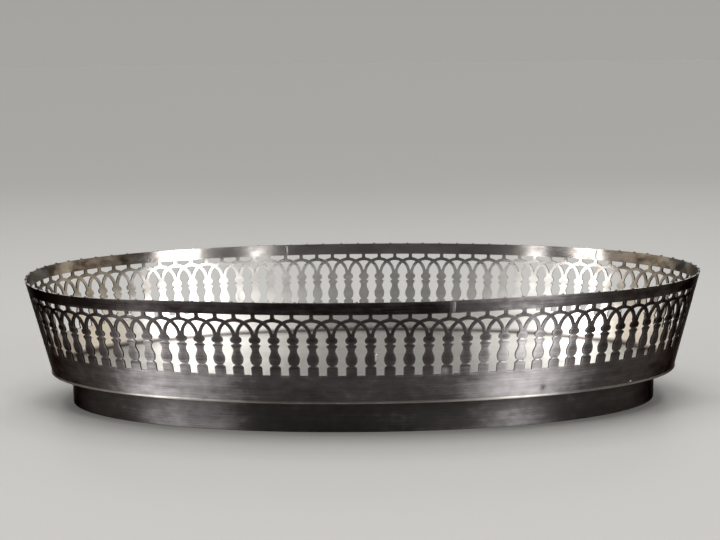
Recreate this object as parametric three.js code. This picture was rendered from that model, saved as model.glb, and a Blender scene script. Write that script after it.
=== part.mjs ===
// Oval silver bread basket: a flat base plate on a foot ring, with a leaning gallery wall
// made from four strips of pierced sheet, soldered end to end and onto the plate.
// Millimetres, +Z up. The origin is on the table, under the middle of the basket.
import * as THREE from 'three';
import { mergeVertices } from 'three/addons/utils/BufferGeometryUtils.js';

// Driving dimensions of the whole basket
const rimLength = 340;
const rimWidth = 193;
const ovalFullness = 2.1; // 2 is a true ellipse, more is fuller between the axes
const wallHeight = 47.8;
const wallLean = 11.6; // how far the foot of the wall lies inside the rim
const wallSheet = 0.9;
const plateSheet = 1.2;
const plateLedge = 0.3; // edge of the plate that stands proud of the wall's foot
const footHeight = 16;
const footInset = 10.4; // foot ring inside the edge of the plate
const footSheet = 1.6;
const seamGap = 0.3; // between the ends of neighbouring strips

// The gallery, from the rim down, measured along the leaning sheet
const rimBand = 5.9; // plain band over the pierced pattern
const postHeight = 2; // short post from the rim band to the crown of an arch
const postFlare = 0.6; // height of the flared foot of a post, where it meets the crown
const archRise = 9; // a round arch, from where it springs to the top of its crown
const crownThickness = 1.75;
const fanHeight = 5.4; // the small opening under each crown, from its top to its point
const neckHeight = 0.3; // from the springing down to the knob
const knobHeight = 3.2;
const collarHeight = 3.4;
const vaseHeight = 7.3;
const plinthHeight = 5.1;
const plinthChamfer = 0.8;

// Widths across one bay, which is 8.96 mm at the rim and narrows downwards with the wall
const postWidth = 1.9;
const fanWidth = 5.2;
const legsWidth = 3.5; // the two legs that spring from one baluster, side by side
const knobWidth = 5.4;
const notchWidth = 3;
const collarWidth = 5.1;
const stemWidth = 3.4;
const vaseWidth = 5.7;
const plinthWidth = 5.3;

// Where the turned forms bulge most, as a share of their own height
const knobBelly = 0.5;
const collarLip = 0.22;
const vaseBelly = 0.56;
const archShoulder = 0.62; // corner of the pointed arch, as a share of its half width

// The four strips, anticlockwise from above: where each one starts, as a share of the way
// round from the middle of the front, and how many bays it holds
const strips = [
  { name: 'gallery_front', start: -0.1305, bays: 17 },
  { name: 'gallery_right', start: 0.0456, bays: 29 },
  { name: 'gallery_back', start: 0.3427, bays: 20 },
  { name: 'gallery_left', start: 0.551, bays: 30 },
];
const plateSteps = 88; // facets round the plate and the foot ring
const walkSteps = 3600; // steps of the walk round the rim that spaces the bays evenly

const plateBottom = footHeight;
const plateTop = plateBottom + plateSheet;
const rimTop = plateTop + wallHeight;
const leanAngle = Math.atan2(wallLean, wallHeight);
const wallSlant = wallHeight / Math.cos(leanAngle);
const wallSheetLevel = wallSheet / Math.cos(leanAngle); // the sheet, measured level

// Outline of the rim, a superellipse, as a table of angle against distance walked

function ovalRadius(angle) {
  const lengthPart = Math.abs(Math.cos(angle) / (rimLength / 2)) ** ovalFullness;
  const widthPart = Math.abs(Math.sin(angle) / (rimWidth / 2)) ** ovalFullness;
  return (lengthPart + widthPart) ** (-1 / ovalFullness);
}

function walkOval(steps) {
  const walk = [{ angle: -Math.PI / 2, distance: 0 }];
  let from = new THREE.Vector2(0, -rimWidth / 2);
  for (let i = 1; i <= steps; i += 1) {
    const angle = -Math.PI / 2 + (2 * Math.PI * i) / steps;
    const radius = ovalRadius(angle);
    const to = new THREE.Vector2(radius * Math.cos(angle), radius * Math.sin(angle));
    walk.push({ angle, distance: walk[i - 1].distance + to.distanceTo(from) });
    from = to;
  }
  return walk;
}

const ovalWalk = walkOval(walkSteps);
const rimPerimeter = ovalWalk[ovalWalk.length - 1].distance;
const bayAtRim = rimPerimeter / strips.reduce((sum, strip) => sum + strip.bays, 0);

// Point on the rim outline at a share of the way round, moved out by a distance along the
// outline's own normal, so that every level is parallel to the rim
function ovalPoint(share, out) {
  const distance = (share - Math.floor(share)) * rimPerimeter;
  let low = 0;
  let high = ovalWalk.length - 1;
  while (high - low > 1) {
    const middle = Math.floor((low + high) / 2);
    if (ovalWalk[middle].distance > distance) high = middle;
    else low = middle;
  }
  const span = ovalWalk[high].distance - ovalWalk[low].distance;
  const part = (distance - ovalWalk[low].distance) / span;
  const angle = ovalWalk[low].angle + part * (ovalWalk[high].angle - ovalWalk[low].angle);
  const radius = ovalRadius(angle);
  const x = radius * Math.cos(angle);
  const y = radius * Math.sin(angle);
  const slope = (value, half) => {
    const steepness = Math.abs(value / half) ** (ovalFullness - 1) / half;
    return Math.sign(value) * steepness;
  };
  const normal = new THREE.Vector2(slope(x, rimLength / 2), slope(y, rimWidth / 2)).normalize();
  return new THREE.Vector2(x, y).addScaledVector(normal, out);
}

// One bay of the pierced pattern, flat: u runs across it in bay widths, from the middle of
// one baluster to the middle of the next, and v runs down from the rim in millimetres

const across = (width) => width / bayAtRim;
const springing = rimBand + postHeight + archRise;

// Height of an arch over its springing line at a distance from the crown's middle, where
// the arch is half an ellipse
function archHeight(offset, halfSpan, rise) {
  return rise * Math.sqrt(Math.max(0, 1 - (offset / halfSpan) ** 2));
}

// An arch springs from one baluster and lands two balusters on, with its crown over the
// baluster between, so neighbouring arches cross in the middle of each bay
const archOuterSpan = 1;
const archInnerSpan = 1 - across(legsWidth) / 2;
const innerRise = archRise - crownThickness;
const archOuter = (offset) => springing - archHeight(offset, archOuterSpan, archRise);
const archInner = (offset) => springing - archHeight(offset, archInnerSpan, innerRise);

// Slot between two posts: flat at the rim band, pointed where two arches cross under it
function slotOutline() {
  const side = across(postWidth) / 2;
  const shoulder = archOuter(side) - postFlare;
  return [
    [side, rimBand],
    [side, shoulder],
    [0.5, archOuter(0.5)],
    [1 - side, shoulder],
    [1 - side, rimBand],
  ];
}

// Right half of the fan under a crown, from its top down to its point between the legs
function fanOutline() {
  const corner = across(fanWidth) / 2;
  return [
    [0, archInner(0)],
    [corner, archInner(corner)],
    [0, archInner(0) + fanHeight],
  ];
}

// Right half of the tall opening between two balusters, from the top of the pointed arch
// down to the plinths: the balusters' turned outline, seen as the gap beside it
function openingHalf() {
  const gap = (width) => 0.5 - across(width) / 2;
  const knobTop = springing + neckHeight;
  const knobFoot = knobTop + knobHeight;
  const collarFoot = knobFoot + collarHeight;
  const vaseFoot = collarFoot + vaseHeight;
  const shoulder = gap(legsWidth) * archShoulder;
  return [
    [0, archInner(0.5)],
    [shoulder, archInner(0.5 + shoulder)],
    [gap(legsWidth), springing],
    [gap(knobWidth), knobTop + knobHeight * knobBelly],
    [gap(notchWidth), knobFoot],
    [gap(collarWidth), knobFoot + collarHeight * collarLip],
    [gap(stemWidth), collarFoot],
    [gap(vaseWidth), collarFoot + vaseHeight * vaseBelly],
    [gap(notchWidth), vaseFoot],
    [gap(plinthWidth), vaseFoot + plinthChamfer],
    [gap(plinthWidth), vaseFoot + plinthHeight],
  ];
}

function mirrored(half, middle) {
  const right = half.map(([u, v]) => [middle + u, v]);
  const left = half.filter(([u]) => u > 0).map(([u, v]) => [middle - u, v]);
  return [...right, ...left.reverse()];
}

// Outline of a bay's sheet, clockwise seen from outside, with half a fan cut into each side
function bayOutline() {
  const fan = fanOutline();
  const rightSide = fan.map(([u, v]) => [1 - u, v]);
  const leftSide = [...fan].reverse();
  return [[0, 0], [1, 0], ...rightSide, [1, wallSlant], [0, wallSlant], ...leftSide];
}

const bay = {
  outline: bayOutline(),
  holes: [slotOutline(), mirrored(openingHalf(), 0.5)],
};

// Sheet metal solids

const toVectors = (points) => points.map(([u, v]) => new THREE.Vector2(u, v));

function solidFromTriangles(corners) {
  const geometry = new THREE.BufferGeometry();
  geometry.setAttribute('position', new THREE.Float32BufferAttribute(corners, 3));
  return mergeVertices(geometry);
}

// A strip of gallery: the bay, repeated, bent round the leaning oval and given the sheet's
// thickness
function galleryStrip(strip, end) {
  const points = [...bay.outline, ...bay.holes.flat()];
  const faces = THREE.ShapeUtils.triangulateShape(toVectors(bay.outline), bay.holes.map(toVectors));
  const loops = [bay.outline, ...bay.holes];
  const bayShare = (end - strip.start) / strip.bays;
  const halfGap = seamGap / 2 / rimPerimeter;
  const corners = [];

  const place = (index, [u, v], inward) => {
    let share = strip.start + (index + u) * bayShare;
    if (index === 0 && u === 0) share += halfGap;
    if (index === strip.bays - 1 && u === 1) share -= halfGap;
    const out = -v * Math.sin(leanAngle) - inward;
    const { x, y } = ovalPoint(share, out);
    return new THREE.Vector3(x, y, rimTop - v * Math.cos(leanAngle));
  };
  const addFace = (a, b, c) => corners.push(...a, ...b, ...c);
  const addWall = (index, from, to) => {
    const [a, b] = [place(index, from, 0), place(index, to, 0)];
    const [c, d] = [place(index, from, wallSheetLevel), place(index, to, wallSheetLevel)];
    addFace(a, b, c);
    addFace(b, d, c);
  };

  for (let index = 0; index < strip.bays; index += 1) {
    const outside = points.map((point) => place(index, point, 0));
    const inside = points.map((point) => place(index, point, wallSheetLevel));
    for (const [a, b, c] of faces) {
      const turn = (points[b][0] - points[a][0]) * (points[c][1] - points[a][1])
        - (points[b][1] - points[a][1]) * (points[c][0] - points[a][0]);
      const [p, q, r] = turn > 0 ? [a, c, b] : [a, b, c];
      addFace(outside[p], outside[q], outside[r]);
      addFace(inside[p], inside[r], inside[q]);
    }
    for (const loop of loops) {
      const hole = loop !== bay.outline;
      const clockwise = THREE.ShapeUtils.area(toVectors(loop)) < 0;
      loop.forEach((from, i) => {
        const to = loop[(i + 1) % loop.length];
        const shared = !hole && from[0] === to[0] && (from[0] === 0 || from[0] === 1);
        const atEnd = (from[0] === 0 && index === 0) || (from[0] === 1 && index === strip.bays - 1);
        if (shared && !atEnd) return;
        if (hole === clockwise) addWall(index, from, to);
        else addWall(index, to, from);
      });
    }
  }
  return solidFromTriangles(corners);
}

// A flat plate with the basket's outline, moved out by the given distance
function ovalPlate(out, bottom, thickness) {
  const outline = [];
  for (let i = 0; i < plateSteps; i += 1) outline.push(ovalPoint(i / plateSteps, out));
  const geometry = new THREE.ExtrudeGeometry(new THREE.Shape(outline), {
    depth: thickness,
    bevelEnabled: false,
  });
  return geometry.translate(0, 0, bottom);
}

// A band on edge round the same outline, as thick as its sheet
function ovalBand(out, sheet, height) {
  const shape = new THREE.Shape();
  const hole = new THREE.Path();
  const outer = [];
  const inner = [];
  for (let i = 0; i < plateSteps; i += 1) {
    outer.push(ovalPoint(i / plateSteps, out));
    inner.push(ovalPoint(i / plateSteps, out - sheet));
  }
  shape.setFromPoints(outer);
  hole.setFromPoints(inner.reverse());
  shape.holes.push(hole);
  return new THREE.ExtrudeGeometry(shape, { depth: height, bevelEnabled: false });
}

function silver(color, roughness) {
  return new THREE.MeshStandardMaterial({ color, roughness, metalness: 1, flatShading: true });
}

function piece(name, geometry, material) {
  const mesh = new THREE.Mesh(geometry, material);
  mesh.name = name;
  return mesh;
}

const footSilver = silver(0x57524f, 0.42);
const plateSilver = silver(0xbcb4a8, 0.3);
const gallerySilver = silver(0x8d8782, 0.35);

const plateOut = plateLedge - wallLean;
const footRing = ovalBand(plateOut - footInset, footSheet, footHeight);
const basePlate = ovalPlate(plateOut, plateBottom, plateSheet);

const group = new THREE.Group();
group.add(piece('foot_ring', footRing, footSilver));
group.add(piece('base_plate', basePlate, plateSilver));
strips.forEach((strip, i) => {
  const end = i + 1 < strips.length ? strips[i + 1].start : strips[0].start + 1;
  group.add(piece(strip.name, galleryStrip(strip, end), gallerySilver));
});

export default group;
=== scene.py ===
"""Looks of the oval silver bread basket: a pierced gallery on a flat plate and a low foot ring."""

import math

import bpy
import numpy as np
from mathutils import Matrix, Vector
from mathutils.geometry import delaunay_2d_cdt


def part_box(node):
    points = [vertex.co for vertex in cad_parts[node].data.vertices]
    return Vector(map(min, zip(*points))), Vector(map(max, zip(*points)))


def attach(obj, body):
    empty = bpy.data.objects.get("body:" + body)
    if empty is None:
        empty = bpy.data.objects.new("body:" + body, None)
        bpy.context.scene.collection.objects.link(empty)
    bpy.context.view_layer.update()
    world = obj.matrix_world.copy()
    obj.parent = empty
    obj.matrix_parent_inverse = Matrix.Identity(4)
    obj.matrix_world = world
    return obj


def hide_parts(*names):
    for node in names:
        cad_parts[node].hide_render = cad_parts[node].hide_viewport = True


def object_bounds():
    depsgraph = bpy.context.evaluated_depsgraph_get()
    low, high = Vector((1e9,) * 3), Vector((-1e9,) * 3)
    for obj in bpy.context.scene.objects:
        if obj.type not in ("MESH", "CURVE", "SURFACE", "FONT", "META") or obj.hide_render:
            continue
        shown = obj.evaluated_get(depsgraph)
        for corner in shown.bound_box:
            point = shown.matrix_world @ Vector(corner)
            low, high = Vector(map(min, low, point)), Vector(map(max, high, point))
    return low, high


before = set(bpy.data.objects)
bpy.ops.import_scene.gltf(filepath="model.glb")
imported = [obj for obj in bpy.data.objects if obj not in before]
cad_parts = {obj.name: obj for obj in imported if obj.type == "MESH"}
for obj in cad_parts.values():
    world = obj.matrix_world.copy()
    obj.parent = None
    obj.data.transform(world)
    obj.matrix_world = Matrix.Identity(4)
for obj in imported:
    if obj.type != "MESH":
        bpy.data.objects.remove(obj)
cad_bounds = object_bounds()

# Foot ring
# A plain upright band of sheet silver, bent to an oval and soldered under the plate. It is
# brushed along its length, dark with tarnish, and its lower edge is worn round from standing.

MM = 0.001
lowest, highest = cad_bounds
rim_length = (highest.x - lowest.x) / MM
rim_width = (highest.y - lowest.y) / MM
rim_top = highest.z / MM
oval_fullness = 2.1
walk_steps = 7200
plate_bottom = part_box("base_plate")[0].z / MM
plate_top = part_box("base_plate")[1].z / MM
wall_lean = 11.6
plate_ledge = 0.3
plate_edge = plate_ledge - wall_lean
foot_inset = 10.4
foot_sheet = 1.6
foot_sections = 480


def oval_radius(angle):
    """Distance from the middle to the rim's outline, which is a superellipse."""
    length_part = np.abs(np.cos(angle) / (rim_length / 2)) ** oval_fullness
    width_part = np.abs(np.sin(angle) / (rim_width / 2)) ** oval_fullness
    return (length_part + width_part) ** (-1 / oval_fullness)


walk_angle = np.linspace(-math.pi / 2, 1.5 * math.pi, walk_steps + 1)
walk_line = oval_radius(walk_angle) * np.array([np.cos(walk_angle), np.sin(walk_angle)])
walk_distance = np.concatenate([[0], np.cumsum(np.hypot(*np.diff(walk_line)))])
rim_perimeter = walk_distance[-1]


def oval(share, out):
    """Points at shares of the way round the rim, from the front, moved out along its normal."""
    angle = np.interp((share - np.floor(share)) * rim_perimeter, walk_distance, walk_angle)
    line = oval_radius(angle) * np.array([np.cos(angle), np.sin(angle)])
    half = np.array([rim_length / 2, rim_width / 2]).reshape(2, *[1] * angle.ndim)
    normal = np.sign(line) * np.abs(line / half) ** (oval_fullness - 1) / half
    normal /= np.hypot(*normal)
    return line + normal * out


def metal_piece(name, points, faces, materials, nodes):
    """A smooth piece from points in millimetres, which stands for CAD nodes and never moves."""
    mesh = bpy.data.meshes.new(name)
    mesh.from_pydata((np.asarray(points) * MM).tolist(), [], faces)
    mesh.shade_smooth()
    for material in materials:
        mesh.materials.append(material)
    made = bpy.data.objects.new(name, mesh)
    bpy.context.scene.collection.objects.link(made)
    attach(made, "root")
    if nodes:
        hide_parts(*nodes)
    return made


def round_corner(centre, radius, start, end, steps=4):
    """Points on a quarter of a circle, with angles in degrees."""
    turn = np.radians(np.linspace(start, end, steps + 1))
    return [(centre[0] + radius * math.cos(a), centre[1] + radius * math.sin(a)) for a in turn]


def swept(profile, sections):
    """A closed profile of (out, height) points, carried once round the oval."""
    share = np.arange(sections) / sections
    points = []
    for out, height in profile:
        x, y = oval(share, np.full(sections, out))
        points.append(np.stack([x, y, np.full(sections, height)], axis=1))
    points = np.concatenate(points)
    faces = []
    for i in range(len(profile)):
        here, there = i * sections, (i + 1) % len(profile) * sections
        for j in range(sections):
            k = (j + 1) % sections
            faces.append((here + j, here + k, there + k, there + j))
    return points, faces


def linear(hex_colour):
    """A colour written as sRGB hex, in the linear values that shaders take."""
    parts = [int(hex_colour[i:i + 2], 16) / 255 for i in (1, 3, 5)]
    return [p / 12.92 if p <= 0.04045 else ((p + 0.055) / 1.055) ** 2.4 for p in parts] + [1]


def add(tree, kind, settings, links=None):
    """Adds a node, sets its properties and inputs, and links other nodes' outputs into it."""
    made = tree.nodes.new(kind)
    for name, value in settings.items():
        if isinstance(name, int) or name in made.inputs:
            made.inputs[name].default_value = value
        else:
            setattr(made, name, value)
    for name, source in (links or {}).items():
        tree.links.new(source, made.inputs[name])
    return made


def new_material(name):
    """A material with an empty node tree."""
    material = bpy.data.materials.new(name)
    material.use_nodes = True
    material.node_tree.nodes.clear()
    return material, material.node_tree


def ramp(tree, source, stops):
    """Turns a value into a colour, or into a grey value, with (place, sRGB hex) stops."""
    made = add(tree, "ShaderNodeValToRGB", {}, {"Fac": source})
    elements = made.color_ramp.elements
    while len(elements) < len(stops):
        elements.new(0.5)
    for element, (place, colour) in zip(elements, stops):
        element.position = place
        element.color = linear(colour)
    return made.outputs["Color"]


def stretched(tree, place, sizes_mm):
    """Place on the object, counted in pattern sizes along X, Y and Z."""
    scale = [1 / (size * MM) for size in sizes_mm]
    made = add(tree, "ShaderNodeVectorMath", {"operation": "MULTIPLY", 1: scale}, {0: place})
    return made.outputs["Vector"]


def noise(tree, place, sizes_mm, detail=2.0, roughness=0.5):
    """Cloudy noise from 0 to 1 with the given sizes along X, Y and Z."""
    vector = stretched(tree, place, sizes_mm)
    settings = {"Scale": 1.0, "Detail": detail, "Roughness": roughness}
    return add(tree, "ShaderNodeTexNoise", settings, {"Vector": vector}).outputs["Fac"]


def spread(tree, source, from_low, from_high, to_low, to_high):
    """Maps a value from one range to another, held at both ends."""
    settings = {"From Min": from_low, "From Max": from_high, "To Min": to_low, "To Max": to_high}
    return add(tree, "ShaderNodeMapRange", settings, {"Value": source}).outputs["Result"]


def combine(tree, operation, first, second):
    """One sum on two values, each a number or another node's output."""
    made = add(tree, "ShaderNodeMath", {"operation": operation})
    for index, value in enumerate((first, second)):
        if isinstance(value, (int, float)):
            made.inputs[index].default_value = value
        else:
            tree.links.new(value, made.inputs[index])
    return made.outputs["Value"]


# Tarnished silver: the outside of old sheet silver, brushed along its length. Brown-grey
# sulphide dims it, most of all at a glancing angle, rubbing has brought back lighter silver,
# and the brushing lines spread every reflection up and down. The real lines are about 0.1 mm
# wide, too fine to show, and are drawn wider.
brush_length = 30
brush_width = 0.55
glancing = "#9a9592"


def tarnished_silver(name, dark, middle, rubbed, wear_and_painted_light):
    """The last argument is how light the metal is, from wear and from painted highlight and shade, as
    a function of the tree and the place on the object.
    """
    material, tree = new_material(name)
    place = add(tree, "ShaderNodeTexCoord", {}).outputs["Object"]
    brushing = noise(tree, place, (brush_length, brush_length, brush_width), detail=3)
    clouds = noise(tree, place, (26, 26, 9), detail=4, roughness=0.6)
    stains = noise(tree, place, (5, 5, 3.5), detail=3)
    light = combine(tree, "ADD", wear_and_painted_light(tree, place), spread(tree, clouds, 0.3, 0.7, -0.12, 0.12))
    light = combine(tree, "ADD", light, spread(tree, brushing, 0.3, 0.7, -0.07, 0.07))
    light = combine(tree, "ADD", light, spread(tree, stains, 0.35, 0.7, -0.06, 0.06))
    colour = ramp(tree, light, [(0.0, dark), (0.5, middle), (1.0, rubbed)])
    rough = combine(tree, "ADD", spread(tree, brushing, 0.3, 0.7, 0.4, 0.48),
                    spread(tree, light, 0.0, 1.0, 0.04, -0.04))
    bump = add(tree, "ShaderNodeBump", {"Strength": 0.2, "Distance": 0.02 * MM},
               {"Height": brushing})
    upright = add(tree, "ShaderNodeCombineXYZ", {"Z": 1.0})
    shader = add(tree, "ShaderNodeBsdfPrincipled",
                 {"Metallic": 1.0, "Anisotropic": 0.95, "Specular Tint": linear(glancing)},
                 {"Base Color": colour, "Roughness": rough, "Normal": bump.outputs["Normal"],
                  "Tangent": upright.outputs["Vector"]})
    add(tree, "ShaderNodeOutputMaterial", {}, {"Surface": shader.outputs["BSDF"]})
    return material


def painted_highlight_zones(tree, place):
    """1 in the painted highlight zones on the long sides, where the side lamps' reflections fall, 80
    mm to each side of a place left of the middle.
    """
    x = add(tree, "ShaderNodeSeparateXYZ", {}, {"Vector": place}).outputs["X"]
    side = combine(tree, "ABSOLUTE", combine(tree, "ADD", x, 8 * MM), 0.0)
    off = combine(tree, "ABSOLUTE", combine(tree, "SUBTRACT", side, 80 * MM), 0.0)
    return spread(tree, off, 6 * MM, 42 * MM, 1.0, 0.0)


def painted_shade_at_ends(tree, place):
    """Less than 0 towards the two ends of the oval: painted shade there."""
    x = add(tree, "ShaderNodeSeparateXYZ", {}, {"Vector": place}).outputs["X"]
    return spread(tree, combine(tree, "ABSOLUTE", x, 0.0), 104 * MM, 148 * MM, 0.0, -0.22)


def foot_wear_and_painted_light(tree, place):
    """The foot is lightest along its lower edge, where cloths and tables rub it. A painted highlight
    lightens it 72 mm to the left and in the highlight zones, and painted shade darkens its two ends."""
    parts = add(tree, "ShaderNodeSeparateXYZ", {}, {"Vector": place})
    edge = spread(tree, parts.outputs["Z"], 0.0, 2 * MM, 0.54, 0.42)
    edge = combine(tree, "ADD", edge, painted_shade_at_ends(tree, place))
    from_left_highlight = combine(tree, "ABSOLUTE", combine(tree, "ADD", parts.outputs["X"], 72 * MM), 0.0)
    edge = combine(tree, "ADD", edge, spread(tree, from_left_highlight, 4 * MM, 22 * MM, 0.26, 0.0))
    return combine(tree, "ADD", edge, combine(tree, "MULTIPLY", painted_highlight_zones(tree, place), 0.14))


foot_silver = tarnished_silver("foot_tarnished_silver", "#2e2b2c", "#514d4d", "#928e90", foot_wear_and_painted_light)

foot_outer = plate_edge - foot_inset
foot_inner = foot_outer - foot_sheet
foot_wear = 0.5
foot_rise = [0.5, 2, 4, 7, 10, 13, plate_bottom]
foot_profile = (
    round_corner((foot_outer - foot_wear, foot_wear), foot_wear, -90, 0)
    + [(foot_outer, z) for z in foot_rise[1:]]
    + [(foot_inner, z) for z in reversed(foot_rise[1:])]
    + round_corner((foot_inner + foot_wear, foot_wear), foot_wear, 180, 270)
)
foot_points, foot_faces = swept(foot_profile, foot_sections)
foot = metal_piece("foot_band", foot_points, foot_faces, [foot_silver], ["foot_ring"])

# Base plate
# A flat oval of sheet silver that the wall stands on. Its upper face has been polished many
# times, so it is bright and slightly uneven, with fine scratches from cutting and cleaning.

plate_sections = 288
plate_rows = [0.995, 0.985, 0.975, 0.965, 0.95] + [s / 30 for s in range(28, 0, -1)]
under_rows = [0.1, 0.5, 0.85]
plate_round = 0.45
grime_and_shade_start, grime_and_shade_end = 0.995, 0.93
polished, edge_and_under = 0, 1

# Length in millimetres, direction in radians and depth of the waves that hammering left
plate_waves = [(88, 0.5, 0.10), (61, 2.1, 0.08), (43, 4.0, 0.05)]


def smooth_step(value, start, end):
    """0 at the start, 1 at the end, held on both sides and smooth between."""
    t = np.clip((value - start) / (end - start), 0, 1)
    return t * t * (3 - 2 * t)


def plate_unevenness(x, y):
    """Millimetres that the hand-flattened plate lies above its true level."""
    return sum(depth * np.sin(2 * math.pi * (x * math.cos(turn) + y * math.sin(turn)) / length)
               for length, turn, depth in plate_waves)


def plate_mesh():
    """The plate, from the middle of its underside round the edge to the middle of its top: its
    points, its faces, each face's material and how much grime and painted shade each point takes."""
    share = np.arange(plate_sections) / plate_sections
    inner = plate_edge - plate_round
    rim = oval(share, inner)
    rows = [np.stack([*(rim * scale), np.full(plate_sections, plate_bottom)], axis=1)
            for scale in under_rows]
    edge = (round_corner((inner, plate_bottom + plate_round), plate_round, -90, 0, 3)
            + round_corner((inner, plate_top - plate_round), plate_round, 0, 90, 3))
    rows += [np.stack([*oval(share, out), np.full(plate_sections, height)], axis=1)
             for out, height in edge]
    edge_rings = len(rows) - 2
    corner_grime_and_shade = [0.0] * len(rows)
    for scale in plate_rows:
        x, y = rim * scale
        z = plate_top + plate_unevenness(x, y) * (1 - scale ** 8)
        rows.append(np.stack([x, y, z], axis=1))
        corner_grime_and_shade.append(1 - smooth_step(scale, grime_and_shade_start, grime_and_shade_end))
    middles = [[0, 0, plate_top + plate_unevenness(0, 0)], [0, 0, plate_bottom]]
    points = np.concatenate(rows + [middles])
    top, bottom = len(points) - 2, len(points) - 1
    faces, kinds = [], []
    for j in range(plate_sections):
        k = (j + 1) % plate_sections
        for i in range(len(rows) - 1):
            here, there = i * plate_sections, (i + 1) * plate_sections
            faces.append((here + j, here + k, there + k, there + j))
            kinds.append(edge_and_under if i < edge_rings else polished)
        last = (len(rows) - 1) * plate_sections
        faces += [(last + j, last + k, top), (k, j, bottom)]
        kinds += [polished, edge_and_under]
    return points, faces, kinds, np.append(np.repeat(corner_grime_and_shade, plate_sections), [0.0, 0.0])


# Polished silver: nearly a mirror, with a faint warm haze left by polish, fine scratches in
# every direction and dull patches where fingers and food have been. The scratches are finer
# than the render can show, and are drawn 2 mm wide.
# The dark brown of grime and tarnish, and of the painted shade in the corners
grime_and_shade_brown = "#33271d"


def polished_silver(name, clean, hazy, gloss, dents, scratched, matt=None, dull=None, dirt_and_shade=None,
                    scatter=None, grain=None):
    """dents is how deep the hollows are in millimetres, and scratched is what scratches add to the
    roughness; matt adds to it too, dull to the haze, and the next argument mixes in the dark brown of
    grime, tarnish and painted shade, as functions of tree and place. scatter is the share of the
    light that fine scratches scatter, another such function, and grain the direction that coarser
    polishing spreads reflections along."""
    material, tree = new_material(name)
    place = add(tree, "ShaderNodeTexCoord", {}).outputs["Object"]
    clouds = noise(tree, place, (26, 26, 9), detail=3, roughness=0.55)
    smears = noise(tree, place, (9, 6, 5), detail=2)
    scratches = noise(tree, place, (24, 2, 2), detail=1)
    crossing = noise(tree, place, (2, 20, 2), detail=1)
    haze = combine(tree, "ADD", spread(tree, clouds, 0.35, 0.7, 0.0, 0.6),
                   spread(tree, smears, 0.4, 0.7, 0.0, 0.2))
    if dull:
        haze = combine(tree, "ADD", haze, dull(tree, place))
    colour = ramp(tree, haze, [(0.0, clean), (1.0, hazy)])
    if dirt_and_shade:
        colour = add(tree, "ShaderNodeMixRGB", {"Color2": linear(grime_and_shade_brown)},
                     {"Fac": dirt_and_shade(tree, place), "Color1": colour}).outputs["Color"]
    lines = combine(tree, "ADD", scratches, crossing)
    rough = combine(tree, "ADD", spread(tree, haze, 0.0, 1.0, gloss, gloss + 0.08),
                    spread(tree, lines, 1.1, 1.4, 0.0, scratched))
    if matt:
        rough = combine(tree, "ADD", rough, matt(tree, place))
    hollows = noise(tree, place, (14, 14, 8), detail=1)
    waves = add(tree, "ShaderNodeBump", {"Strength": 1.0, "Distance": dents * MM},
                {"Height": hollows})
    shader = add(tree, "ShaderNodeBsdfPrincipled", {"Metallic": 1.0},
                 {"Base Color": colour, "Roughness": rough, "Normal": waves.outputs["Normal"]})
    if scatter:
        metal = combine(tree, "SUBTRACT", 1.0, scatter(tree, place))
        tree.links.new(metal, shader.inputs["Metallic"])
    if grain:
        shader.inputs["Anisotropic"].default_value = 0.8
        along = add(tree, "ShaderNodeCombineXYZ", {"X": grain[0], "Y": grain[1], "Z": grain[2]})
        tree.links.new(along.outputs["Vector"], shader.inputs["Tangent"])
    add(tree, "ShaderNodeOutputMaterial", {}, {"Surface": shader.outputs["BSDF"]})
    return material


def plate_grime_and_shade(tree, place):
    """Grime and painted shade in the corner beside the wall, which no cloth reaches."""
    corner = add(tree, "ShaderNodeAttribute", {"attribute_name": "corner_grime_and_shade"}).outputs["Fac"]
    patchy = spread(tree, noise(tree, place, (12, 5, 5)), 0.3, 0.6, 0.6, 0.95)
    return combine(tree, "MULTIPLY", corner, patchy)


def plate_scatter(tree, place):
    """Cleaning has scratched the plate all over, most of all at its two ends."""
    x = add(tree, "ShaderNodeSeparateXYZ", {}, {"Vector": place}).outputs["X"]
    side = combine(tree, "ABSOLUTE", combine(tree, "SUBTRACT", x, 8 * MM), 0.0)
    off = combine(tree, "ABSOLUTE", combine(tree, "SUBTRACT", side, 90 * MM), 0.0)
    return spread(tree, off, 14 * MM, 46 * MM, 0.5, 0.12)


plate_silver = polished_silver("plate_polished_silver", "#e8e6e1", "#d0cbc1", 0.28, 0.015, 0.0,
                               dirt_and_shade=plate_grime_and_shade, scatter=plate_scatter, grain=(1.0, 0.0, 0.0))


def plate_edge_wear_and_painted_highlight(tree, place):
    """The plate's edge stands proud of the wall, so hands and cloths keep it light, and a painted
    highlight lightens it more in the highlight zones.
    """
    return combine(tree, "ADD", combine(tree, "MULTIPLY", painted_highlight_zones(tree, place), 0.25), 0.5)


plate_edge_silver = tarnished_silver("plate_edge_silver", "#4a4643", "#8d8782", "#cfccc7",
                                     plate_edge_wear_and_painted_highlight)
plate_points, plate_faces, plate_kinds, plate_corner_grime_and_shade = plate_mesh()
plate = metal_piece("plate_floor", plate_points, plate_faces, [plate_silver, plate_edge_silver],
                    ["base_plate"])
plate.data.polygons.foreach_set("material_index", plate_kinds)
plate.data.attributes.new("corner_grime_and_shade", "FLOAT", "POINT").data.foreach_set("value", plate_corner_grime_and_shade)

# Gallery strips
# Four strips of sheet silver, pierced with crossing arches over turned balusters, filed
# round at every edge and soldered end to end. Tarnished outside and polished inside.

# Where each strip starts, as a share of the way round from the front, its number of bays, and
# how much lighter its rim band is rubbed
strips = {
    "gallery_front": (-0.1305, 17, 0.0),
    "gallery_right": (0.0456, 29, 0.27),
    "gallery_back": (0.3427, 20, 0.0),
    "gallery_left": (0.551, 30, 0.04),
}
seam_gap = 0.04
wall_height = rim_top - plate_top
lean = math.atan2(wall_lean, wall_height)
slant = wall_height / math.cos(lean)
wall_sheet = 0.9

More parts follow.
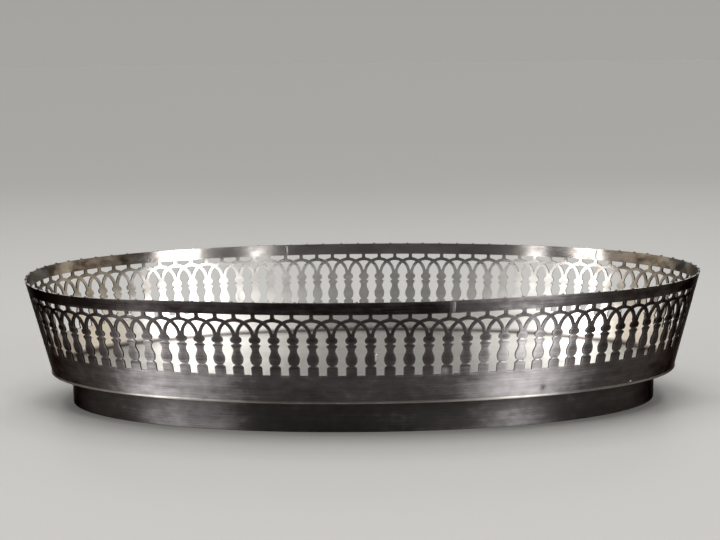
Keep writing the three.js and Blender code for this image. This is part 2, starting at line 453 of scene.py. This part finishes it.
# One bay, in millimetres: half widths across it, and places down from the rim
bay = rim_perimeter / sum(bays for start, bays, rubbed in strips.values())
middle = bay / 2
rim_band = 5.9
post_half = 0.9
springing = 16.9
arch_rise = 9.0
arch_width = 1.62
fan_tip = 15.1
knob_half, notch_half, lip_half = 2.76, 1.25, 2.56
stem_half, vase_half, plinth_shoulder, plinth_half = 1.66, 2.85, 2.4, 2.65
knob_top, knob_foot = springing + 0.15, springing + 3.35
lip_top, lip_foot, stem_height = knob_foot + 0.95, knob_foot + 1.35, knob_foot + 3.55
vase_belly, vase_foot = stem_height + 4.1, springing + 14.2
plinth_top, plinth_foot = vase_foot + 0.95, springing + 19.3


def arch_reach(down, inset):
    """Half width of an arch at a height below the rim, inset from its outer edge."""
    rise = arch_rise - inset
    return (bay - inset) * np.sqrt(np.clip(1 - ((springing - down) / rise) ** 2, 0, 1))


def bulge(top, bottom, narrow, wide, steps=24):
    """Edge of a bead that swells from a narrow half width to a wide one and back."""
    turn = np.linspace(-1, 1, steps + 1)
    half_width = narrow + (wide - narrow) * np.sqrt(1 - turn ** 2)
    return np.stack([half_width, (top + bottom) / 2 + turn * (bottom - top) / 2], axis=1)


def turned_edge():
    """Right edge of a baluster, from its knob down to its plinth."""
    t = np.linspace(0, 1, 25)
    ease = t * t * (3 - 2 * t)
    stem = stem_half + (vase_half - stem_half) * ease
    swell = np.stack([stem, stem_height + (vase_belly - stem_height) * t], axis=1)
    under = notch_half + (vase_half - notch_half) * np.sqrt(1 - t ** 2)
    close = np.stack([under, vase_belly + (vase_foot - vase_belly) * t], axis=1)
    hollow = stem_half + (lip_half - stem_half) * (1 - t) ** 2
    collar = np.stack([hollow, lip_foot + (stem_height - lip_foot) * t], axis=1)
    waist = [[notch_half, knob_foot + 0.1], [lip_half - 0.15, lip_top], [lip_half, lip_top + 0.15]]
    knob = bulge(knob_top, knob_foot, notch_half, knob_half)[3:]
    plinth = [[plinth_shoulder, plinth_top], [plinth_half, plinth_top + 0.4],
              [plinth_half, plinth_foot], [middle, plinth_foot]]
    return np.concatenate([knob, waist, collar, swell[1:], close[1:], plinth])


def evenly(points, step):
    """The same line with its points spaced evenly."""
    walked = np.concatenate([[0], np.cumsum(np.hypot(*np.diff(points, axis=0).T))])
    at = np.linspace(0, walked[-1], max(1, round(walked[-1] / step)) + 1)
    return np.stack([np.interp(at, walked, points[:, k]) for k in (0, 1)], axis=1)


def paced(line, fine, coarse, turn_per_point=0.3):
    """The same line with its points close together where it turns and far apart where it is
    straight; the turn per point is in radians."""
    heading = np.unwrap(np.arctan2(*np.gradient(line, axis=0).T[::-1]))
    length = np.hypot(*np.gradient(line, axis=0).T)
    turning = np.abs(np.gradient(heading)) / length
    window = np.ones(9) / 9
    density = np.convolve(np.clip(turning / turn_per_point, 1 / coarse, 1 / fine), window, "same")
    walked = np.concatenate([[0], np.cumsum((density[1:] + density[:-1]) / 2 * length[1:])])
    at = np.linspace(0, walked[-1], max(1, round(walked[-1])) + 1)
    return np.stack([np.interp(at, walked, line[:, k]) for k in (0, 1)], axis=1)


def filed(half_line, axis, reach, fine=0.03):
    """Half of a sawn opening, beside its upright axis, with the corners filed round."""
    line = evenly(np.asarray(half_line), fine)
    mirror = line * [-1, 1] + [2 * axis, 0]
    whole = np.concatenate([mirror[:0:-1], line, mirror[-2::-1]])
    weights = np.hanning(2 * round(reach / fine) + 3)[1:-1]
    weights /= weights.sum()
    smooth = np.stack([np.convolve(whole[:, k], weights, "same") for k in (0, 1)], axis=1)
    smooth = smooth[len(line) - 1:2 * len(line) - 1]
    smooth[[0, -1], 0] = axis
    return smooth


def slot_edge():
    """Left half of the slot between two posts, over the place where two arches cross."""
    across = np.linspace(post_half + 0.35, middle, 40)
    down = springing - arch_rise * np.sqrt(1 - (across / bay) ** 2)
    square = [[middle, rim_band], [post_half, rim_band], [post_half, down[0] - 0.6]]
    return np.concatenate([square, np.stack([across, down], axis=1)])


def fan_edge():
    """Right half of the fan under a crown, between the arch and the legs of its neighbours."""
    crown = springing - arch_rise + arch_width
    down = crown + (fan_tip - crown) * np.linspace(0, 1, 60) ** 2
    across = np.minimum(arch_reach(down, arch_width), bay - arch_reach(down, 0))
    return np.concatenate([np.stack([across, down], axis=1), [[0, fan_tip]]])


def opening_edge():
    """Left half of the tall opening between two balusters, from its pointed top down."""
    rise = arch_rise - arch_width
    apex = springing - rise * math.sqrt(1 - (middle / (bay - arch_width)) ** 2)
    down = np.linspace(apex, springing, 50)
    lancet = np.stack([bay - arch_reach(down, arch_width), down], axis=1)
    return np.concatenate([lancet, turned_edge()])


slot_line = filed(slot_edge(), middle, 0.45)
fan_line = filed(fan_edge(), 0, 0.25)
opening_line = filed(opening_edge(), middle, 0.08)
cut_lines = np.concatenate([slot_line, fan_line, opening_line])

# The grooves filed across the balusters with their depths, and the lines beside them painted lighter
# as highlights and darker as shade, by their places down from the rim
creases = {knob_foot: 0.24, stem_height: 0.08, vase_foot: 0.2, plinth_top + 0.3: 0.08,
           knob_top: 0.12}
painted_ridge_lines = {knob_foot + 0.15: 0.08, lip_top + 0.2: -0.18, vase_foot + 0.2: 0.08,
                plinth_top + 0.2: -0.12}
turned_half = 3.2
edge_round = 0.09
shoulder_width, shoulder_depth = 0.7, 0.05

# How closely the sheet is meshed: rows beside the cut edges and the grooves, steps along the
# outline, and the grid between them, fine over the pattern and coarse over the plain bands
pattern_top, pattern_foot = 4.8, 37.2
edge_rows = (0.05, 0.2)
crease_rows = (-0.45, -0.2, 0.0, 0.2, 0.45)
crease_room = 0.7
outline_steps = (0.12, 0.42)
front_grid = (0.65, 1.4)
back_grid = (1.25, 2.2)
sharp_angle = 50


def reach(points):
    """Distance of each place on the flat bay to the nearest cut edge, the rim's among them."""
    gap = np.hypot(*(points[:, None, :] - cut_lines[None, ::2, :]).transpose(2, 0, 1))
    return np.minimum(gap.min(axis=1), points[:, 1])


def levels(start, end, fine, coarse):
    """Heights down a plain side, close together at its two ends and at each crease."""
    found = [start, start + edge_rows[0], start + edge_rows[1]]
    while True:
        step = fine if pattern_top < found[-1] < pattern_foot else coarse
        if found[-1] + 1.4 * step > end - edge_rows[1]:
            break
        found.append(found[-1] + step)
    found += [end - edge_rows[1], end - edge_rows[0], end]
    crossed = [level for level in creases if start < level < end]
    kept = found[:3] + found[-3:]
    kept += [f for f in found[3:-3] if all(abs(f - level) > crease_room for level in crossed)]
    kept += [level + row for level in crossed for row in crease_rows]
    return sorted(set(kept))


def bay_boundary():
    """The flat half bay's outline, round it with the metal on the left hand, as stretches of
    points, each with the name of what it borders."""
    slot, fan, opening = (paced(line, *outline_steps) for line in (slot_line, fan_line, opening_line))

    def side(across, start, end):
        return np.array([[across, down] for down in levels(start, end, *front_grid)])

    rim = np.stack([np.linspace(middle, 0, 7), np.zeros(7)], axis=1)
    foot = np.stack([np.linspace(0, middle, 7), np.full(7, slant)], axis=1)
    return [
        ("joint", side(0, 0, fan[0, 1])), ("cut", fan), ("joint", side(0, fan[-1, 1], slant)),
        ("cut", foot), ("joint", side(middle, opening[-1, 1], slant)[::-1]),
        ("cut", opening[::-1]), ("joint", side(middle, slot[-1, 1], opening[0, 1])[::-1]),
        ("cut", slot[::-1]), ("joint", side(middle, 0, slot[0, 1])[::-1]), ("rim", rim),
    ]


def bay_inside(stretches, rows, grid, grooved):
    """Places inside the metal: rows beside the cut edges, along the creases, and a grid, which
    keeps clear of the creases where the face is grooved."""
    fine, coarse = grid
    found = []
    for kind, line in stretches:
        if kind != "joint":
            along = np.gradient(line, axis=0)
            left = np.stack([along[:, 1], -along[:, 0]], axis=1)
            left /= np.hypot(*left.T)[:, None]
            for row in rows:
                moved = (line + left * row)[1:-1]
                found.append(moved[reach(moved) > 0.9 * row])
    across = np.arange(0.45, middle - 0.2, 0.45)
    for level in creases:
        for row in crease_rows:
            line = np.stack([across, np.full(len(across), level + row)], axis=1)
            found.append(line[reach(line) > rows[-1] + 0.15])
    for step, start, end in ((coarse, 0, pattern_top), (fine, pattern_top, pattern_foot),
                             (coarse, pattern_foot, slant)):
        rows_down = np.arange(start + step / 2, end, step * math.sqrt(3) / 2)
        for i, down in enumerate(rows_down):
            if grooved and any(abs(down - level) < crease_room for level in creases):
                continue
            line = np.arange(step * (0.5 + i % 2 / 2), middle - step * 0.4, step)
            line = np.stack([line, np.full(len(line), down)], axis=1)
            found.append(line[reach(line) > rows[-1] + 0.45 * step])
    found = np.concatenate(found)
    inside = (found[:, 0] > 0.1) & (found[:, 0] < middle - 0.1) & (found[:, 1] < slant - 0.2)
    return found[inside]


def flat_bay(rows, grid, grooved):
    """The half bay as a flat mesh: its points, the outline's first, its triangles seen from
    outside, and the stretches of its outline."""
    stretches = bay_boundary()
    border = np.concatenate([line[:-1] for kind, line in stretches])
    points = np.concatenate([border, bay_inside(stretches, rows, grid, grooved)])
    flat = [Vector((p[0], -p[1])) for p in points]
    ring = [(i, (i + 1) % len(border)) for i in range(len(border))]
    placed, _, triangles, _, _, _ = delaunay_2d_cdt(flat, ring, [], 1, 1e-5)
    if len(placed) != len(points):
        raise ValueError("the bay's outline crosses itself")
    return points, [tuple(t) for t in triangles], stretches


front_points, front_faces, bay_stretches = flat_bay(edge_rows, front_grid, True)
back_points, back_faces, _ = flat_bay(edge_rows[1:], back_grid, False)
border_count = sum(len(line) - 1 for kind, line in bay_stretches)


def front_depth(points):
    """How far the chased front lies behind the flat of the sheet, in millimetres."""
    near = reach(points)
    down = points[:, 1]
    edge = edge_round - np.sqrt(edge_round ** 2 - (edge_round - np.minimum(near, edge_round)) ** 2)
    pattern = smooth_step(down, 6.3, 8.2) * (1 - smooth_step(down, plinth_foot - 1, plinth_foot))
    shoulder = shoulder_depth * (1 - np.minimum(near / shoulder_width, 1)) ** 2
    groove = sum(depth * np.exp(-((down - level) / 0.22) ** 2) for level, depth in creases.items())
    return edge + (shoulder + groove * (points[:, 0] < turned_half)) * pattern


def relief_wear_and_painted_light(points):
    """How light each place is: lighter along the edges, worn and with a painted highlight, lines
    beside the grooves painted lighter as highlights and darker as shade, and darker in the middles of
    the knobs and vases."""
    near = reach(points)
    down = points[:, 1]
    turned = (points[:, 0] < turned_half) & (near > 0.1)
    edges = 0.2 * np.exp(-(near / 0.3) ** 2)
    ridges = sum(amount * np.exp(-((down - level - 0.15) / 0.3) ** 2)
                 for level, amount in painted_ridge_lines.items())
    knob = np.hypot(points[:, 0] / 1.9, (down - (knob_top + knob_foot) / 2) / 1.15)
    vase = np.hypot(points[:, 0] / 1.8, (down - vase_belly) / 2.8)
    middles = 0.12 * (1 - smooth_step(knob, 0.6, 1.1)) + 0.07 * (1 - smooth_step(vase, 0.5, 1.1))
    return edges + (ridges - middles) * turned


# Years of use have pushed the rim down a little to the left of the front, and up to its right.
# Each bend has its middle and half width as shares of the way round, and its rise.
rim_bends = [(-0.185, 0.105, -1.9), (0.1, 0.075, 0.6)]


def rim_rise(share):
    """How far the rim has been bent up, in millimetres, at a share of the way round."""
    rise = 0 * share
    for bend_middle, half_width, height in rim_bends:
        off = np.abs((share - bend_middle + 0.5) % 1 - 0.5) / half_width
        rise = rise + height * np.cos(np.minimum(off, 1) * math.pi / 2) ** 2
    return rise


def on_wall(share, down, depth):
    """Places on the leaning wall: a share of the way round, down from the rim, into the sheet."""
    x, y = oval(share, -down * math.sin(lean) - depth / math.cos(lean))
    bent = rim_rise(share) * (1 - down / slant)
    return np.stack([x, y, rim_top - down * math.cos(lean) + bent], axis=-1)


# Places painted lighter or darker than the rest: a residue on one plinth, a ding painted dark, and
# painted highlights and painted shade where the lamps' reflections fall on the sheet. Distance round
# the rim from the front middle, distance down the wall and size, in millimetres, and how much lighter
wear_and_painted_light_spots = [(38.2, 34.4, 1.7, 0.4), (6.5, 27, 2.6, 0.2), (-78, 43, 8, 0.06), (60, 41, 9, 0.06),
                (87.6, 46, 1.5, -0.4), (-30, 42, 7, -0.06), (14, 44, 9, -0.05),
                (78, 17, 12, 0.22), (98, 26, 13, 0.14), (-88, 24, 19, -0.16)]

# One half bay, front and back, as one list of places with the sheet's own depth
bay_places = np.concatenate([front_points, back_points])
bay_depth = np.concatenate([front_depth(front_points), np.full(len(back_points), wall_sheet)])
# How light each place is: worn edges with painted highlights and shade along the relief on the front,
# nothing on the back
bay_wear_and_painted_light = np.concatenate([relief_wear_and_painted_light(front_points), np.zeros(len(back_points))])
behind = len(front_points)
edge_kinds = [kind for kind, line in bay_stretches for _ in line[1:]]
outside, inside_face, cut_face, rim_edge = 0, 1, 2, 3


def half_bay_faces():
    """Faces of one half bay with their material, and the walls that close a strip's end."""
    faces = [(f, outside) for f in front_faces]
    faces += [(tuple(behind + i for i in reversed(f)), inside_face) for f in back_faces]
    ends = []
    for i, kind in enumerate(edge_kinds):
        k = (i + 1) % border_count
        wall = (k, i, behind + i, behind + k)
        if kind != "joint":
            faces.append((wall, rim_edge if kind == "rim" else cut_face))
        elif bay_places[i, 0] == 0 and bay_places[k, 0] == 0:
            ends.append((wall, cut_face))
    return faces, ends


def strip_mesh(start, end, bays, rubbed_rim):
    """A whole strip: half bays and their mirror images in turn, joined along their sides."""
    count = len(bay_places)
    at_left = bay_places[:, 0] == 0
    at_right = bay_places[:, 0] == middle
    faces, ends = half_bay_faces()
    bay_share = (end - start) / bays
    half_gap = seam_gap / 2 / rim_perimeter
    points, wear_and_painted_light, mesh_faces, kinds = [], [], [], []
    for half in range(2 * bays):
        mirrored = half % 2 == 1
        across = bay - bay_places[:, 0] if mirrored else bay_places[:, 0]
        share = start + (half // 2 + across / bay) * bay_share
        if half == 0:
            share = share + at_left * half_gap
        if half == 2 * bays - 1:
            share = share - at_left * half_gap
        points.append(on_wall(share, bay_places[:, 1], bay_depth))
        along = (share - np.round(share)) * rim_perimeter
        spots = sum(amount * np.exp(-((along - at) ** 2 + (bay_places[:, 1] - down) ** 2) / size ** 2)
                    for at, down, size, amount in wear_and_painted_light_spots)
        wear_and_painted_light.append(bay_wear_and_painted_light + spots + rubbed_rim * (1 - smooth_step(bay_places[:, 1], 5, 9)))
        number = np.arange(count) + half * count
        shared = at_right if mirrored else at_left & (half > 0)
        number[shared] -= count
        own = list(faces)
        if half in (0, 2 * bays - 1):
            own += ends
        for face, kind in own:
            corners = [int(number[i]) for i in face]
            mesh_faces.append(tuple(reversed(corners)) if mirrored else tuple(corners))
            kinds.append(kind)
    return np.concatenate(points), np.concatenate(wear_and_painted_light), mesh_faces, kinds


def by_height(tree, place, stops):
    """A value that changes with the height above the table, from (millimetres, value) stops."""
    height = add(tree, "ShaderNodeSeparateXYZ", {}, {"Vector": place}).outputs["Z"]
    total = stops[0][1]
    for (start, before), (end, after) in zip(stops[::2], stops[1::2]):
        step = spread(tree, height, start * MM, end * MM, 0.0, after - before)
        total = combine(tree, "ADD", step, total)
    return total


def gallery_tone_and_painted_light(tree, place):
    """The rim band and the arches are darkest and the low band lighter; a painted highlight lightens
    the low band in the highlight zones and painted shade darkens the two ends.
    """
    level = by_height(tree, place, [(26, 0.42), (32, 0.38), (44, 0.38), (50, 0.19),
                                    (57, 0.19), (60, 0.04)])
    level = combine(tree, "ADD", level, painted_shade_at_ends(tree, place))
    edges = add(tree, "ShaderNodeAttribute", {"attribute_name": "wear_and_painted_light"}).outputs["Fac"]
    # Painted highlight on the low band in the highlight zones, fading out up the wall
    held = combine(tree, "MULTIPLY", painted_highlight_zones(tree, place),
                   by_height(tree, place, [(44, 0.43), (56, 0.18)]))
    return combine(tree, "ADD", combine(tree, "ADD", level, edges), held)


def sawn_tarnish_and_painted_highlight(tree, place):
    """Sawn edges keep their tarnish, where no cloth reaches, with a little painted highlight in the
    highlight zones.
    """
    return combine(tree, "MULTIPLY", painted_highlight_zones(tree, place), 0.2)


def inside_matt(tree, place):
    """Only the rim band inside is burnished smooth; below it the polishing lines are coarser."""
    return by_height(tree, place, [(52, 0.22), (60, 0.0)])


def inside_dull(tree, place):
    """The rim band inside has dulled to grey, and the balusters are cleaner."""
    return by_height(tree, place, [(30, -0.4), (42, -0.05), (48, -0.05), (60, 0.45)])


def inside_grime_and_shade(tree, place):
    """Grime and painted shade in the corner over the plate, and brown stains on the rim band at the
    two ends.
    """
    x = add(tree, "ShaderNodeSeparateXYZ", {}, {"Vector": place}).outputs["X"]
    ends = spread(tree, combine(tree, "ABSOLUTE", x, 0.0), 92 * MM, 128 * MM, 0.15, 1.0)
    stains = spread(tree, noise(tree, place, (9, 9, 6), detail=3), 0.4, 0.62, 0.45, 0.92)
    stains = combine(tree, "MULTIPLY", stains, by_height(tree, place, [(35, 0.0), (45, 0.65),
                                                                       (54, 0.65), (60, 1.0)]))
    corner = by_height(tree, place, [(plate_top + 0.5, 0.8), (plate_top + 2.2, 0.0)])
    return combine(tree, "ADD", corner, combine(tree, "MULTIPLY", stains, ends))


def inside_scatter(tree, place):
    """A thin grey bloom on the rim band inside."""
    return by_height(tree, place, [(56, 0.0), (59.5, 0.07)])


outside_silver = tarnished_silver("gallery_tarnished_silver", "#282221", "#656060", "#c5c0c1",
                                  gallery_tone_and_painted_light)
inside_silver = polished_silver("gallery_polished_silver", "#dad7d2", "#928c88", 0.07, 0.06, 0.03,
                                inside_matt, inside_dull, inside_grime_and_shade, inside_scatter)
sawn_silver = tarnished_silver("sawn_edge_silver", "#332d2b", "#4f4947", "#8f8b88", sawn_tarnish_and_painted_highlight)


def rim_dirt(tree, place):
    """Towards the two ends less rubbing has left the tarnish on the rim's edge."""
    x = add(tree, "ShaderNodeSeparateXYZ", {}, {"Vector": place}).outputs["X"]
    return spread(tree, combine(tree, "ABSOLUTE", x, 0.0), 90 * MM, 155 * MM, 0.1, 0.9)


# The rim's upper edge, which every hand and cloth passes over: worn bright and a little scratched.
rim_edge_silver = polished_silver("worn_rim_edge_silver", "#aeaba6", "#75706b", 0.28, 0.0, 0.05,
                                  dirt_and_shade=rim_dirt)

names = list(strips)
for i, (name, (start, bays, rubbed)) in enumerate(strips.items()):
    end = strips[names[i + 1]][0] if i + 1 < len(names) else strips[names[0]][0] + 1
    points, wear_and_painted_light, faces, kinds = strip_mesh(start, end, bays, rubbed)
    strip = metal_piece("pierced_" + name, points, faces,
                        [outside_silver, inside_silver, sawn_silver, rim_edge_silver],
                        [name])
    strip.data.polygons.foreach_set("material_index", kinds)
    strip.data.attributes.new("wear_and_painted_light", "FLOAT", "POINT").data.foreach_set("value", wear_and_painted_light)
    strip.data.set_sharp_from_angle(angle=math.radians(sharp_angle))

# Rim nibs
# Small half-round stubs of silver left standing on the rim's edge, about one over each bay,
# where the waste was sawn away. They are part of the strips and rubbed smooth.

nib_count = 91
nib_phase = 0.78
nib_half, nib_height, nib_inset = 0.65, 0.6, 0.1
nib_points, nib_faces = [], []
nib_wander = np.random.default_rng(4).uniform(-0.06, 0.06, nib_count)
nib_turn = np.radians(np.linspace(180, 0, 7))
for k in range(nib_count):
    along = (k + nib_phase + nib_wander[k]) / nib_count
    share = along + nib_half / rim_perimeter * np.cos(nib_turn)
    down = 0.06 - nib_height * np.sin(nib_turn)
    first = len(nib_points) * 2 * len(nib_turn)
    nib_points.append(np.concatenate([on_wall(share, down, nib_inset),
                                      on_wall(share, down, wall_sheet - nib_inset)]))
    count = len(nib_turn)
    near_side = [first + i for i in range(count)]
    far_side = [first + count + i for i in range(count)]
    nib_faces += [tuple(reversed(near_side)), tuple(far_side)]
    for i in range(count):
        j = (i + 1) % count
        nib_faces.append((near_side[i], near_side[j], far_side[j], far_side[i]))
nibs = metal_piece("rim_nibs", np.concatenate(nib_points), nib_faces, [rim_edge_silver],
                   [])
nibs.data.set_sharp_from_angle(angle=math.radians(sharp_angle))

# Solder
# Silver solder run into the joints between the strips, with the drops and smears that it left.
# It is a little proud of the sheet, and paler because it was scraped and rubbed.

# Distance round the rim from the front middle, distance down the wall, half width, half height
# and thickness of each run or drop, in millimetres, and whether it lies on the inside
outer_seams = [(41.2, 3.0, 0.8, 2.7, 0.08, False)]
outer_drops = [
    (6.0, 27.2, 0.75, 2.2, 0.45, False),
    (-110.4, 8.0, 1.7, 0.8, 0.22, False),
    (141.0, 48.4, 0.8, 0.55, 0.45, False),
]
inner_seams = [(473.5, 3.0, 0.9, 2.7, 0.05, True), (294.4, 3.0, 0.9, 2.7, 0.05, True)]
inner_drops = [(500.7, 28.0, 2.1, 2.9, 0.1, True)]
solder_rings = (1.0, 0.92, 0.7, 0.4)
solder_corners = 20
solder_sunk = 0.15


def solder_drop(along, down, half_width, half_height, proud, inside):
    """A low dome of solder on the wall, closed by a flat face just under the silver."""
    turn = np.arange(solder_corners) / solder_corners * 2 * math.pi
    across = np.sign(np.cos(turn)) * np.abs(np.cos(turn)) ** 0.8 * half_width
    up = np.sign(np.sin(turn)) * np.abs(np.sin(turn)) ** 0.8 * half_height
    surface, outward = (wall_sheet, 1) if inside else (0, -1)
    rows = [(1.0, -solder_sunk)] + [(r, proud * math.sqrt(1 - r * r)) for r in solder_rings]
    points = [on_wall((along + across * r) / rim_perimeter, down - up * r, surface + outward * h)
              for r, h in rows]
    points.append(on_wall(np.array([along / rim_perimeter]), np.array([down]),
                          surface + outward * proud))
    count = solder_corners
    faces = [tuple(reversed(range(count)))]
    top = len(rows) * count
    for i in range(count):
        j = (i + 1) % count
        faces += [(r * count + i, r * count + j, (r + 1) * count + j, (r + 1) * count + i)
                  for r in range(len(rows) - 1)]
        faces.append((top - count + i, top - count + j, top))
    if inside:
        faces = [tuple(reversed(face)) for face in faces]
    return np.concatenate(points), faces


def solder_piece(name, marks, material):
    """All runs and drops of one kind as one piece."""
    all_points, all_faces = [], []
    for mark in marks:
        points, faces = solder_drop(*mark)
        first = sum(len(p) for p in all_points)
        all_points.append(points)
        all_faces += [tuple(first + i for i in face) for face in faces]
    metal_piece(name, np.concatenate(all_points), all_faces, [material], [])


def seam_wear_and_painted_highlight(tree, place):
    """The filed seams are rubbed about as light as the low band, and lighter still by a painted
    highlight in the highlight zones.
    """
    return combine(tree, "ADD", painted_highlight_zones(tree, place), 0.45)


# Scraped solder: brighter than the sheet, so that its round back shines. On the seams it was
# filed nearly flat and has tarnished again.
drop_silver = polished_silver("scraped_silver_solder", "#cbc6bf", "#958e87", 0.24, 0.0, 0.05)
seam_silver = tarnished_silver("tarnished_silver_solder", "#2a2625", "#6d6967", "#a7a4a1", seam_wear_and_painted_highlight)
solder_piece("seam_solder", outer_seams, seam_silver)
solder_piece("solder_drops", outer_drops, drop_silver)

# Inside, the seams were polished with the sheet, and a mended vase was filed and left matt.
matt_solder = polished_silver("filed_matt_silver_solder", "#dedbd6", "#b3ada6", 0.42, 0.0, 0.05)
solder_piece("inner_seam_solder", inner_seams, inside_silver)
solder_piece("mended_vase_solder", inner_drops, matt_solder)

# Floor
# A plain pale table top under the basket, matt and even, and large enough that its edge is
# never in view.

floor_reach = 9.0


def pale_table():
    """Matt paint, with no pattern."""
    material, tree = new_material("pale_matt_table")
    shader = add(tree, "ShaderNodeBsdfPrincipled",
                 {"Base Color": linear("#989794"), "Roughness": 0.8})
    add(tree, "ShaderNodeOutputMaterial", {}, {"Surface": shader.outputs["BSDF"]})
    return material


floor_mesh = bpy.data.meshes.new("floor")
floor_mesh.from_pydata([(x * floor_reach, y * floor_reach, 0) for x, y in
                        ((-1, -1), (1, -1), (1, 1), (-1, 1))], [], [(0, 1, 2, 3)])
floor_mesh.materials.append(pale_table())
floor = bpy.data.objects.new("floor", floor_mesh)
bpy.context.scene.collection.objects.link(floor)

# Lamps and world
# A dim grey studio, pale at the level of the table and on both sides. Two tall softboxes stand
# in front, each with a narrow strip light beside it, and two weaker ones behind, under even
# soft light from above and a little from behind.


def softbox(name, azimuth, elevation, distance, width, height, power):
    """A soft lamp with a grid, which keeps its light off the floor beside it, aimed at the
    basket; azimuth 0 is behind the camera, positive to its right."""
    turn, rise = math.radians(azimuth), math.radians(elevation)
    place = distance * Vector((math.sin(turn) * math.cos(rise), -math.cos(turn) * math.cos(rise),
                               math.sin(rise)))
    data = bpy.data.lights.new(name, "AREA")
    data.shape, data.size, data.size_y, data.energy = "RECTANGLE", width, height, power
    data.spread = math.radians(60)
    lamp = bpy.data.objects.new(name, data)
    lamp.location = place
    lamp.rotation_euler = place.to_track_quat("Z", "Y").to_euler()
    lamp.visible_camera = False
    bpy.context.scene.collection.objects.link(lamp)


softbox("left_softbox", -54.0, 24, 1.5, 0.31, 1.05, 1.5)
softbox("left_strip_light", -34.0, 24, 1.5, 0.11, 1.05, 0.2)
softbox("right_softbox", 38.0, 24, 1.5, 0.29, 1.05, 1.5)
softbox("right_strip_light", 16.8, 24, 1.5, 0.07, 1.05, 0.095)
softbox("back_left_softbox", -154.0, 33, 1.6, 0.34, 0.8, 0.6)
softbox("back_right_softbox", 156.0, 33, 1.6, 0.34, 0.8, 0.6)


def soft_sun(name, strength, spread_angle, tilt, turn):
    """Even soft light from far away, so that the floor is as pale at a distance as near by. It
    stays out of reflections, or the plate would be one white glare from above."""
    data = bpy.data.lights.new(name, "SUN")
    data.energy, data.angle = strength, math.radians(spread_angle)
    lamp = bpy.data.objects.new(name, data)
    lamp.rotation_euler = (math.radians(tilt), 0, math.radians(turn))
    lamp.visible_glossy = False
    bpy.context.scene.collection.objects.link(lamp)


soft_sun("overhead_light", 3.5, 50, 0, 0)
soft_sun("back_light", 0.4, 50, 55, 150)

world = bpy.data.worlds.new("studio")
world.use_nodes = True
studio_tree = world.node_tree
studio_tree.nodes.clear()
sky_place = add(studio_tree, "ShaderNodeTexCoord", {}).outputs["Generated"]
sky_parts = add(studio_tree, "ShaderNodeSeparateXYZ", {}, {"Vector": sky_place})
sky_height = sky_parts.outputs["Z"]
sky = ramp(studio_tree, sky_height, [(0.0, "#a6a5a1"), (0.06, "#a3a29f"), (0.16, "#48484a"),
                                         (0.5, "#4b4b4d"), (1.0, "#4a4a4c")])
sides = combine(studio_tree, "ABSOLUTE", sky_parts.outputs["X"], 0.0)
wall_foot = spread(studio_tree, sky_height, 0.03, 0.12, 0.0, 1.0)
wall_top = spread(studio_tree, sky_height, 0.31, 0.36, 1.0, 0.45)
side_walls = combine(studio_tree, "MULTIPLY",
                     spread(studio_tree, sides, 0.75, 0.95, 0.0, 1.0),
                     combine(studio_tree, "MULTIPLY", wall_foot, wall_top))
studio = add(studio_tree, "ShaderNodeBackground", {"Strength": 1.0}, {"Color": sky})
beside = add(studio_tree, "ShaderNodeBackground", {"Color": linear("#e4d8c4"), "Strength": 1.4})
around = add(studio_tree, "ShaderNodeMixShader", {},
             {0: side_walls, 1: studio.outputs["Background"], 2: beside.outputs["Background"]})
add(studio_tree, "ShaderNodeOutputWorld", {}, {"Surface": around.outputs["Shader"]})
bpy.context.scene.world = world

# Camera
# It stands in front of the basket, a little above the rim, and leans by about half a degree.

camera_place = Vector((0.0, -755.7, 183.2)) * MM
camera_aim = Vector((-1.07, 0.0, 64.8)) * MM
camera_roll = -0.01072
camera_data = bpy.data.cameras.new("camera")
camera_data.lens = 75.28
camera_data.sensor_width = 36
camera = bpy.data.objects.new("camera", camera_data)
ahead = (camera_aim - camera_place).normalized()
right = ahead.cross(Vector((0, 0, 1))).normalized()
above = right.cross(ahead)
turn = Matrix((right, above, -ahead)).transposed() @ Matrix.Rotation(camera_roll, 3, "Z")
camera.matrix_world = Matrix.Translation(camera_place) @ turn.to_4x4()
bpy.context.scene.collection.objects.link(camera)
bpy.context.scene.camera = camera

bpy.context.scene.view_settings.view_transform = "Standard"
